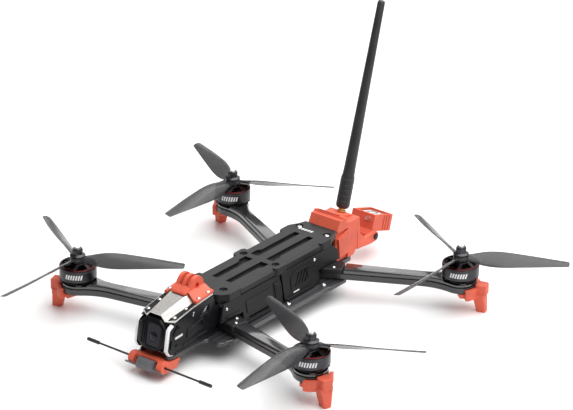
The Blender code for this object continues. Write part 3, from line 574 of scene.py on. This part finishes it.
# Chord and pitch angle at a fraction of the radius, and a blade's section as (across, up)
CHORD = ((0.05, 7.0), (0.1, 9.0), (0.22, 14.2), (0.32, 16.0), (0.42, 15.8), (0.7, 12.3), (1.0, 7.2))
PITCH = ((0.05, 24.0), (0.12, 32.0), (0.22, 40.0), (0.35, 38.0), (0.5, 33.0), (0.7, 25.5), (1.0, 14.0))
FOIL = [
    (-0.5, 0.06), (-0.47, -0.06), (-0.35, -0.05), (-0.15, 0.0), (0.1, 0.04), (0.3, 0.02),
    (0.45, -0.04), (0.5, 0.1), (0.48, 0.3), (0.4, 0.58), (0.25, 0.86), (0.05, 0.92),
    (-0.15, 0.78), (-0.32, 0.5), (-0.45, 0.26),
]


def between(table, place):
    """A table's value at a place, linear between its rows."""
    for (a, low), (b, high) in zip(table, table[1:]):
        if place <= b:
            return low + (high - low) * max(0.0, (place - a) / (b - a))
    return table[-1][1]


def eased(table, place):
    """A table's value with its corners rounded off."""
    reach = min(0.04, 1.0 - place)
    return sum(between(table, place + reach * k / 3) for k in range(-3, 4)) / 7


def blade(hand):
    """A twisted blade along +X that narrows in a short round at its tip."""
    rings = []
    stations = [0.055 + 0.925 * i / 40 for i in range(41)] + [0.988, 0.995, 1.0]
    for f in stations:
        tip = max(0.0, (f - 0.98) / 0.02)
        chord = eased(CHORD, f) * (1.0 - 0.28 * tip**2)
        pitch = math.radians(eased(PITCH, f))
        thick = 2.3 - 1.5 * f
        sweep = 0.7 * math.sin(math.pi * f) - 0.8 * f
        ring = []
        for across, up in FOIL:
            forward = across * chord
            lift = up * thick
            y = forward * math.cos(pitch) - lift * math.sin(pitch) + sweep
            z = forward * math.sin(pitch) + lift * math.cos(pitch)
            ring.append((PROP_R * f, hand * y, z + (HUB_LOW + HUB_TOP) / 2 - 0.6))
        rings.append(ring)
    return loft(rings)


def make_rotor(name, x, y):
    """A propeller's three blades and hub, and its flanged nut."""
    body = f"rotor_{name}"
    hand = 1 if x * y > 0 else -1
    place = at(x, y, 0)
    bore = SHAFT_R + 0.05
    hub = turned([(bore, HUB_LOW), (6.4, HUB_LOW), (6.8, HUB_LOW + 0.4), (6.9, HUB_LOW + 1.0),
                  (6.9, HUB_TOP - 0.9), (6.7, HUB_TOP - 0.3), (6.2, HUB_TOP), (5.4, HUB_TOP),
                  (5.2, HUB_TOP - 0.3), (bore, HUB_TOP - 0.3)], 48)
    shapes = [moved(blade(hand), rot(FIRST_BLADE + 120 * k, "Z")) for k in range(3)]
    piece(f"prop_{name}", moved(together(*shapes), place), SMOKE, body,
          [f"propeller_{name}"], 50)
    piece(f"prop_hub_{name}", moved(hub, place), SMOKE_HUB, body)

    low = HUB_TOP + 0.3
    flange = turned([(bore, low), (6.6, low), (6.9, low + 0.3), (6.9, low + 0.9), (6.4, low + 1.2),
                     (5.3, low + 1.9), (4.9, low + 2.3), (bore, low + 2.3)], 48)
    hexagon = arc((0, 0), 5.15, 0, 300, 5)
    nut = soft_prism(rounded(hexagon, 0.6, 2), low + 1.4, NUT_TOP, 0.5)
    nut = cut(nut, turned([(0, low), (bore, low), (bore, SHAFT_TOP), (0, SHAFT_TOP)], 32))
    collar = turned([(bore, NUT_TOP - 1.0), (4.3, NUT_TOP - 1.0), (4.3, NUT_TOP + 0.4),
                     (3.9, NUT_TOP + 1.0), (bore, NUT_TOP + 1.0)], 40)
    piece(f"nut_{name}", moved(together(flange, nut, collar), place), ANODISED, body,
          [f"prop_nut_{name}"])


def make_motor(name, x, y):
    """The bell with its spokes, ring, magnets and shaft, and the wound stator on its base."""
    body = f"rotor_{name}"
    place = at(x, y, 0)
    can = turned([
        (15.2, 17.2), (16.2, 17.2), (16.45, 17.5), (BELL_R, 18.0), (BELL_R, 26.4), (16.3, 26.6),
        (16.3, 27.0), (BELL_R, 27.2), (BELL_R, 27.9), (16.2, 28.3), (15.2, 28.4),
    ], 96)
    top = turned([
        (SHAFT_R, 28.6), (5.4, 28.4), (6.4, 27.0), (15.2, 26.0), (15.9, 26.4), (15.9, 28.2),
        (15.2, 28.7), (13.8, 28.95), (9.0, 29.8), (7.0, 30.5), (6.2, 31.0), (SHAFT_R, 31.0),
    ], 96)
    for k in range(6):
        window = arc((0, 0), 14.2, 2, 49, 8) + arc((0, 0), 7.0, 56, 20, 5)
        top = cut(top, moved(prism(window, 24.0, 33.0), rot(60 * k, "Z")))
    piece(f"bell_{name}", moved(together(can, top), place), ANODISED, body,
          [f"motor_bell_{name}"])
    ring = turned([(15.9, 28.0), (16.3, 28.1), (16.35, 28.4), (16.1, 28.7), (15.4, 28.85),
                   (14.5, 28.9), (14.2, 28.6), (14.5, 28.0)], 96)
    marks = []
    for k in range(7):
        rings = []
        for r in (BELL_R - 0.5, BELL_R + 0.06):
            bar = []
            for along, z in ((0.0, 20.2), (1.4, 20.2), (2.6, 24.6), (1.2, 24.6)):
                turn = (along + 2.3 * k) / BELL_R + math.radians(-90)
                bar.append((r * math.cos(turn), r * math.sin(turn), z))
            rings.append(bar)
        marks.append(loft(rings))
    piece(f"bell_marks_{name}", moved(together(*marks), place), PALE_INK, body)
    piece(f"bell_ring_{name}", moved(ring, place), RED_ANODISED, body)
    magnets = []
    for k in range(14):
        magnet = soft_box((13.9, -2.7, 17.6), (15.1, 2.7, 27.2), 0.2, 1)
        magnets.append(moved(magnet, rot(360 / 14 * k, "Z")))
    piece(f"magnets_{name}", moved(together(*magnets), place), MAGNET, body)
    shaft = turned([(0, 20.0), (SHAFT_R, 20.0), (SHAFT_R, SHAFT_TOP - 0.6), (2.1, SHAFT_TOP),
                    (0.9, SHAFT_TOP), (0.8, SHAFT_TOP - 0.5), (0, SHAFT_TOP - 0.5)], 32)
    piece(f"shaft_{name}", moved(shaft, place), STEEL, body)

    base = turned([(3.1, SEAT), (12.3, SEAT), (12.7, 13.3), (13.4, 14.2), (13.2, 14.8), (11.0, 15.2),
                   (9.0, 15.9), (6.4, 16.0), (6.2, 25.0), (3.1, 25.0)], 64)
    lobes = []
    for k in range(4):
        lobe = [(5.0, -3.2), (12.5, -3.3)] + arc((13.0, 0), 3.3, -60, 60, 6) + [(12.5, 3.3), (5.0, 3.2)]
        lobes.append(moved(soft_prism(lobe, SEAT, 15.3, 0.3), rot(45 + 90 * k, "Z")))
    piece(f"motor_base_{name}", moved(together(base, *lobes), place), ANODISED, "frame",
          [f"motor_stator_{name}"])
    core, coils = [], []
    for k in range(12):
        tooth = together(soft_box((6.0, -1.0, 18.2), (12.6, 1.0, 24.4), 0.15, 1),
                         soft_box((12.4, -3.1, 18.0), (13.6, 3.1, 24.6), 0.2, 1))
        core.append(moved(tooth, rot(30 * k, "Z")))
        coil = rounded([(-2.3, 17.2), (2.3, 17.2), (2.3, 25.2), (-2.3, 25.2)], 1.2, 3)
        coils.append(moved(prism(coil, 7.4, 12.3, "X"), rot(30 * k, "Z")))
    for r in (7.8, 9.0, 10.2, 11.4):
        for k in range(12):
            half = min(2.5, r * 0.25)
            loop = rounded([(-half, 17.0), (half, 17.0), (half, 25.4), (-half, 25.4)], 1.2, 3)
            coils.append(moved(prism(loop, r - 0.3, r + 0.3, "X"), rot(30 * k, "Z")))
    piece(f"laminations_{name}", moved(together(*core), place), DARK_STEEL)
    piece(f"coils_{name}", moved(together(*coils), place), WIRE, "frame")


# ---------------------------------------------------------------- arms

def arm_outline(length, start, inset):
    """An arm cover seen from above: a slim beam that widens into a round motor pad."""
    waist = length - 34.0
    join = math.radians(120)
    radius = PAD_R - inset
    end = Vector((length + radius * math.cos(join), radius * math.sin(join)))
    tip_half = ARM_TIP_HALF - inset
    half = [(start + inset, ARM_ROOT_HALF - inset), (waist, tip_half)]
    reach = end.x - waist
    slope = -math.cos(join) / math.sin(join) * reach
    for i in range(1, 12):
        t = i / 12
        rise = end.y - tip_half
        half.append((waist + reach * t, tip_half + rise * (3 * t**2 - 2 * t**3) + slope * (t**3 - t**2)))
    half += arc((length, 0), radius, 120, 0, 24)
    return half + [(x, -y) for x, y in reversed(half[:-1])]


def make_arm_cover(name, x, y):
    """The moulded cover of an arm: a smooth top with three fine lines, over a shadow gap."""
    end = name.split("_")[0]
    root = Vector((math.copysign(ARM_ROOTS[end][0], x), ARM_ROOTS[end][1], 0.0))
    tip = Vector((x, y, 0.0))
    along = (tip - root).normalized()
    length = (tip - root).length
    start = length - CLAMP_ENDS[end] + 0.3
    place = at(*root) @ Matrix.Rotation(math.atan2(along.y, along.x), 4, "Z")
    rings = []
    for inset, z in ((1.2, 10.2), (1.2, 10.9), (0.4, 11.1), (0.4, COVER_TOP - 1.4), (0.6, COVER_TOP - 0.7),
                     (1.0, COVER_TOP - 0.2), (1.6, COVER_TOP)):
        rings.append([(u, v, z) for u, v in arm_outline(length, start, inset)])
    low, wide = SEAT - 0.3, PAD_R + 1.6
    pocket = moved(turned([(0, low), (wide, low), (wide, 17.0), (0, 17.0)], 96), at(length))
    cover = cut(loft(rings), pocket)
    first, last = start + 46.0, length - 20.5
    for v in (-2.6, 0.0, 2.6):
        line = rounded([(first, v - 0.2), (last, v - 0.2), (last, v + 0.2), (first, v + 0.2)], 0.15, 1)
        cover = cut(cover, prism(line, COVER_TOP - 0.3, 16.0))
    piece(f"arm_top_{name}", moved(cover, place), ARM_BLACK,
          replaces=[f"arm_cover_{name}"])


for name, (x, y) in ARMS.items():
    make_rotor(name, x, y)
    make_motor(name, x, y)
    make_arm_cover(name, x, y)


# ---------------------------------------------------------------- nose

FLANGE = ((-152.5, 34.7), (-146.5, 35.6), (-125.0, 39.8), (-112.0, 41.6), (-98.0, 43.2))  # y and top


def on_nose(outline, low, high, edge=0.25):
    """A raised shape on both nose plates, from its (y, z) outline."""
    return both(soft_prism(outline, NOSE_X + low, NOSE_X + high, edge, "X"))


def make_cover_details():
    """The cover's dark strips and the screws in its flanges and in the action-camera mount's."""
    rings = []
    for y, low, high in ((-150.5, 12.0, 12.4), (-146.5, 11.0, 17.4), (-125.0, 13.6, 17.6),
                         (-120.6, 13.6, 17.6)):
        z = between(FLANGE, y)
        rings.append([(low, y, z - 0.5), (high, y, z - 0.5), (high, y, z + 0.15), (low, y, z + 0.15)])
    piece("nose_cover_strips", both(loft(rings)), NOSE_BLACK)
    spots = sides(*((14.6, y, between(FLANGE, y) + 0.3) for y in (-144.9, -130.4)))
    screws("nose_screws", spots, STEEL, radius=1.75, height=1.3, drive=0.8)
    spots = sides(*((16.0, y, between(FLANGE, y) + 2.5) for y in (-115.6, -103.4)))
    screws("mount_screws", spots, STEEL, radius=2.0, height=1.4, drive=0.95)


def make_nose_plates():
    """The side plates' front edges painted pale as a painted highlight, their slots, ribs and pins, and a steel
    glint in each window as a painted highlight.
    """
    front = [(-152.6, 4.3), (-156.6, 5.6), (-160.0, 11.0), (-156.6, 29.0), (-154.6, 31.0), (-151.0, 32.6)]
    front = [Vector(p) for p in front]
    band = ((18.55, 1.05), (17.36, -0.15), (15.2, -0.15), (15.2, 1.0), (17.0, 1.0), (17.8, 1.6))
    rings = []
    for k, p in enumerate(front):
        along = front[min(k + 1, len(front) - 1)] - front[max(k - 1, 0)]
        inward = Vector((along.y, -along.x)).normalized()
        ring = []
        for x, back in band:
            y, z = p + inward * back
            ring.append((x, y, z))
        rings.append(ring)
    # A pale strip along each front bevel, mirrored onto both plates: a painted highlight, not a pale part.
    piece("nose_edge_highlights", both(loft(rings)), EDGE_HIGHLIGHT_PAINT)
    bar = rounded([(-149.4, 18.4), (-139.4, 19.0), (-139.4, 21.4), (-149.4, 20.8)], 0.5, 2)
    piece("nose_slots", on_nose(bar, -0.1, 0.3), WHITE)
    pad = rounded([(-135.0, 13.8), (-112.0, 16.2), (-109.5, 22.5), (-113.0, 26.0), (-133.0, 22.4)], 1.2, 3)
    dish = rounded([(-132.6, 15.6), (-113.4, 17.8), (-111.6, 22.2), (-114.2, 24.4), (-131.4, 20.8)], 1.0, 3)
    frame_pad = soft_prism(pad, NOSE_X - 0.2, NOSE_X + 0.8, 0.25, "X")
    frame_pad = cut(frame_pad, prism(dish, NOSE_X + 0.2, NOSE_X + 2, "X"))
    rail = rounded([(-139.0, 9.2), (-108.0, 10.8), (-108.0, 12.0), (-139.0, 10.6)], 0.5, 2)
    ledge = rounded([(-150.0, 4.5), (-100.0, 4.5), (-100.0, 6.4), (-149.0, 6.4)], 0.5, 2)
    ribs = together(both(frame_pad), on_nose(rail, -0.2, 0.9), on_nose(ledge, -0.2, 0.8))
    piece("nose_ribs", ribs, NOSE_BLACK)
    pin = rounded([(-126.4, 31.4), (-124.8, 31.8), (-124.0, 35.4), (-125.6, 35.0)], 0.6, 2)
    # The glint is a steel sheet set below the plate face in each window to paint a bright triangle there: a
    # painted highlight.
    glint = [(-113.0, 27.9), (-105.4, 28.8), (-104.4, 33.6)]
    piece("nose_pins_and_glint", together(on_nose(pin, -0.2, 0.7), on_nose(glint, -2.2, -1.6, 0.1)), STEEL)


def make_camera():
    """The tilting camera's hood with a big dark window, upright ribs and a low lens."""
    place = at(*CAMERA_PIVOT) @ rot(-CAMERA_LEAN, "X")
    rings = []
    for y, wide, high, corner in ((-9.8, 14.6, 15.0, 7.0), (-12.6, 14.6, 15.0, 7.0),
                                  (-13.8, 13.7, 14.2, 6.5), (-14.4, 12.7, 13.2, 6.0)):
        chin = -high + 1.8
        ring = [(wide, high - corner), (wide, -high + corner), (wide - corner, chin), (0, -high + 0.2)]
        ring += [(-wide + corner, chin), (-wide, -high + corner), (-wide, high - corner)]
        ring += [(-wide + corner, high), (wide - corner, high)]
        rings.append([(x, y, z) for x, z in ring])
    window = rounded([(-4.4, -9.6), (10.4, -9.6), (10.4, 10.6), (-4.4, 10.6)], 3.0, 6)
    hood = cut(loft(rings), prism(window, -17.0, -13.0, "Y"))
    ribs = [soft_box((x, -14.9, -9.0), (x + 1.1, -14.2, 9.4), 0.3) for x in (-9.6, -7.2)]
    piece("camera_hood", moved(together(hood, *ribs), place), CAMERA_BLACK, "camera",
          ["camera_bezel"], 30)
    pane = rounded([(-4.1, -9.3), (10.1, -9.3), (10.1, 10.3), (-4.1, 10.3)], 2.8, 6)
    pane = soft_prism(pane, -13.9, -13.1, 0.15, "Y")
    dome = turned([(0, 13.6), (4.6, 13.6), (4.6, 14.0), (4.3, 14.2), (4.0, 14.0), (2.6, 14.35),
                   (1.2, 14.5), (0, 14.55)], 48)
    dome = moved(dome, at(3.0, 0, -0.6) @ rot(90, "X"))
    piece("camera_window", moved(together(pane, dome), place), LENS, "camera",
          ["camera_lens"])


make_cover_details()
make_nose_plates()
make_camera()


# ---------------------------------------------------------------- body

def panel_x(z):
    """The outer face of a side panel, which leans outwards from 24 mm at its top to 28.6 at its foot."""
    return 24.0 + 4.6 * (30.7 - z) / 26.4


def on_panel(outline, proud, sunk=0.3):
    """A shape on the leaning side panels, from its (y, z) outline."""
    return loft([[(panel_x(z) + lift, y, z) for y, z in outline] for lift in (-sunk, proud)])


def block(low_y, high_y, low_z, high_z, corner):
    """A rounded rectangle as a (y, z) outline."""
    return rounded([(low_y, low_z), (high_y, low_z), (high_y, high_z), (low_y, high_z)], corner, 3)


def make_panel_details():
    """The side panels' rims, ledges and studs, a pale strip on each that is a painted highlight along a slot, and
    their screws.
    """
    vents = [(-3.5, 10.8), (15.5, 10.8), (23.0, 14.0), (21.0, 26.6), (3.0, 26.6), (-3.0, 22.0)]
    inside = [(-1.9, 12.2), (14.8, 12.2), (21.2, 15.0), (19.6, 25.2), (3.6, 25.2), (-1.6, 21.2)]
    raised = [cut(on_panel(rounded(vents, 2.0), 0.7), on_panel(rounded(inside, 1.6), 3.0, 3.0))]
    for shape, proud in (
        ((-66.0, -34.0, 5.0, 6.8, 0.5), 1.3),
        ((-12.0, 27.0, 5.0, 6.8, 0.5), 1.3),
        ((-64.0, -30.0, 12.6, 24.0, 2.0), 0.55),
        ((-90.0, -72.0, 17.6, 19.2, 0.5), 0.8),
        ((-25.5, -16.8, 12.0, 26.0, 1.0), 0.9),
    ):
        raised.append(on_panel(block(*shape), proud))
    for row in range(5):
        for column in range(3):
            y, z = -23.9 + 2.5 * column, 13.4 + 2.4 * row
            raised.append(on_panel(block(y, y + 1.5, z, z + 1.4, 0.3), 1.5))
    piece("panel_ridges", both(together(*raised)), BLACK)
    # A pale strip that stands for the light caught along a slot in each panel: a painted highlight.
    piece("panel_slot_highlights", both(on_panel(block(-1.0, 7.0, 8.4, 9.4, 0.4), 0.2)), WHITE)
    outwards = [(25.0, 32.0, 27.4), (24.9, -89.0, 25.8)]
    heads = [moved(screw(1.5, 1.0, 0.8), at(*spot) @ rot(90, "Y")) for spot in outwards]
    piece("panel_screws", both(together(*heads)), STEEL)


def make_deck_details():
    """The screws in the shell, the bottom plate and the arm clamps, and plain marks on the deck."""
    spots = sides((13.9, -80.0, DECK - 1.55), (17.9, -14.0, DECK - 1.55))
    screws("deck_screws", spots, DARK_STEEL, radius=2.7, style="flat")
    screws("deck_screws_rear", sides((15.5, 62.0, DECK - 1.5)), STEEL, radius=2.4, height=1.4)
    spots = sides((32.4, -14.0, PLATE_TOP), (33.4, 35.0, PLATE_TOP))
    screws("plate_screws", spots, STEEL, radius=2.3, height=1.4)
    spots = sides((32.7, 50.1, CLAMP_TOP), (29.6, -81.4, CLAMP_TOP), (34.4, -88.4, CLAMP_TOP))
    screws("clamp_screws", spots, STEEL, radius=1.7, height=1.2, drive=0.9)
    bars = []
    for k in range(5):
        x = -13.0 + 3.2 * k
        bar = [(x, 56.6), (x + 1.9, 56.6), (x + 2.9, 59.6), (x + 1.0, 59.6)]
        bars.append(prism(bar, DECK - 0.1, DECK + 0.06))
    piece("deck_marks", together(*bars), PALE_INK)


def make_whip():
    """The whip antenna with its ribbed foot."""
    lean = at(*WHIP_FOOT) @ rot(-WHIP_LEAN, "X")
    profile = [(0, 3.5), (4.4, 3.5), (4.8, 3.7), (6.0, 5.2)]
    for k in range(5):
        z = 6.6 + 5.0 * k
        profile += [(6.3, z), (6.3, z + 3.9), (6.1, z + 4.1), (6.1, z + 4.8)]
    profile += [(6.2, 32.0), (5.5, 34.5), (5.2, 42.0), (4.3, 110.0), (3.4, 192.6), (3.1, 193.8),
                (2.4, 194.6), (1.2, 194.95), (0, 195.0)]
    piece("whip_antenna_fine", moved(turned(profile, 64), lean), RUBBER, "frame",
          ["whip_antenna"])


def make_gps_details():
    """The GPS tray's ribs, connector and antenna patch."""
    tray = at(*GPS_PIVOT) @ rot(-GPS_LEAN, "X")
    ribs = [soft_box((12.5, y, 3.6), (13.4, y + 1.6, 18.8), 0.35) for y in (14.0, 18.2, 22.4)]
    ribs = both(together(*ribs))
    piece("gps_tray_ribs", moved(ribs, tray), ORANGE, "gps")
    shell = rounded([(3.0, 12.6), (9.6, 12.6), (9.6, 15.6), (3.0, 15.6)], 0.8, 3)
    mouth = rounded([(3.5, 13.1), (9.1, 13.1), (9.1, 15.1), (3.5, 15.1)], 0.5, 3)
    socket = cut(prism(shell, -2.7, -1.3, "Y"), prism(mouth, -4.0, -1.8, "Y"))
    piece("gps_connector", moved(socket, tray), STEEL, "gps")
    patch = rounded([(-9.6, 1.8), (9.6, 1.8), (9.6, 24.2), (-9.6, 24.2)], 1.2, 3)
    piece("gps_patch", moved(soft_prism(patch, 16.5, 17.1, 0.2), tray), WHITE, "gps")
    dark = []
    for x, y, wide, deep in ((-7.8, 3.6, 6.0, 5.0), (1.4, 4.2, 6.6, 3.4), (-6.6, 11.0, 4.0, 6.2),
                             (0.2, 10.2, 3.0, 8.0), (5.4, 12.0, 2.8, 5.0), (-7.4, 19.4, 8.4, 2.8),
                             (3.4, 19.8, 4.6, 2.4)):
        outline = rounded([(x, y), (x + wide, y), (x + wide, y + deep), (x, y + deep)], 0.6, 2)
        dark.append(prism(outline, 17.0, 17.2))
    piece("gps_patch_pads", moved(together(*dark), tray), GLOSS, "gps")


make_panel_details()
make_deck_details()
make_whip()
make_gps_details()


# ---------------------------------------------------------------- floor, light and camera

def area(name, place, aim, size, power):
    """A rectangular light that faces its aim."""
    data = bpy.data.lights.new(name, "AREA")
    data.shape = "RECTANGLE"
    data.size, data.size_y = size
    data.energy = power
    made = bpy.data.objects.new(name, data)
    made.location = place
    made.rotation_euler = (Vector(aim) - Vector(place)).to_track_quat("-Z", "Y").to_euler()
    bpy.context.scene.collection.objects.link(made)


def make_floor(half):
    """A square floor in metres, level with the lowest point of the CAD."""
    mesh = bmesh.new()
    corners = ((-half, -half), (half, -half), (half, half), (-half, half))
    mesh.faces.new([mesh.verts.new((x, y, FLOOR_Z)) for x, y in corners])
    data = bpy.data.meshes.new("floor")
    mesh.to_mesh(data)
    mesh.free()
    data.materials.append(pale_floor("pale_floor"))
    floor = bpy.data.objects.new("floor", data)
    bpy.context.scene.collection.objects.link(floor)


make_floor(12.0)

world = bpy.data.worlds.new("studio")
bpy.context.scene.world = world
world.use_nodes = True
world.node_tree.nodes["Background"].inputs["Color"].default_value = (1.0, 1.0, 1.0, 1.0)
world.node_tree.nodes["Background"].inputs["Strength"].default_value = 0.28

area("overhead", (0.5, 0.2, 1.5), (0.3, 0.0, 0.0), (2.5, 1.8), 54.0)
area("back", (-1.1, 2.7, 1.5), (0.0, 0.0, 0.0), (4.0, 1.7), 29.0)
area("back_right", (0.95, 1.75, 1.6), (0.0, 0.0, 0.03), (1.1, 1.1), 9.0)
area("side", (1.9, -0.4, 0.6), (0.0, 0.0, 0.03), (0.5, 1.0), 2.0)

# The matched camera, in metres and degrees
camera_data = bpy.data.cameras.new("camera")
camera_data.sensor_width = 36.0
camera_data.lens = 177.66
camera_data.shift_x = 0.0105
camera_data.shift_y = -0.0009
camera_data.clip_end = 50.0
camera = bpy.data.objects.new("camera", camera_data)
camera.location = (1.40037, -1.74276, 1.10776)
toward = Vector((-0.07587, 0.11047, 0.024)) - camera.location
camera.rotation_euler = (toward.to_track_quat("-Z", "Y").to_matrix() @ rot(0.16, "Z").to_3x3()).to_euler()
bpy.context.scene.collection.objects.link(camera)
bpy.context.scene.camera = camera
bpy.context.scene.view_settings.view_transform = "Standard"
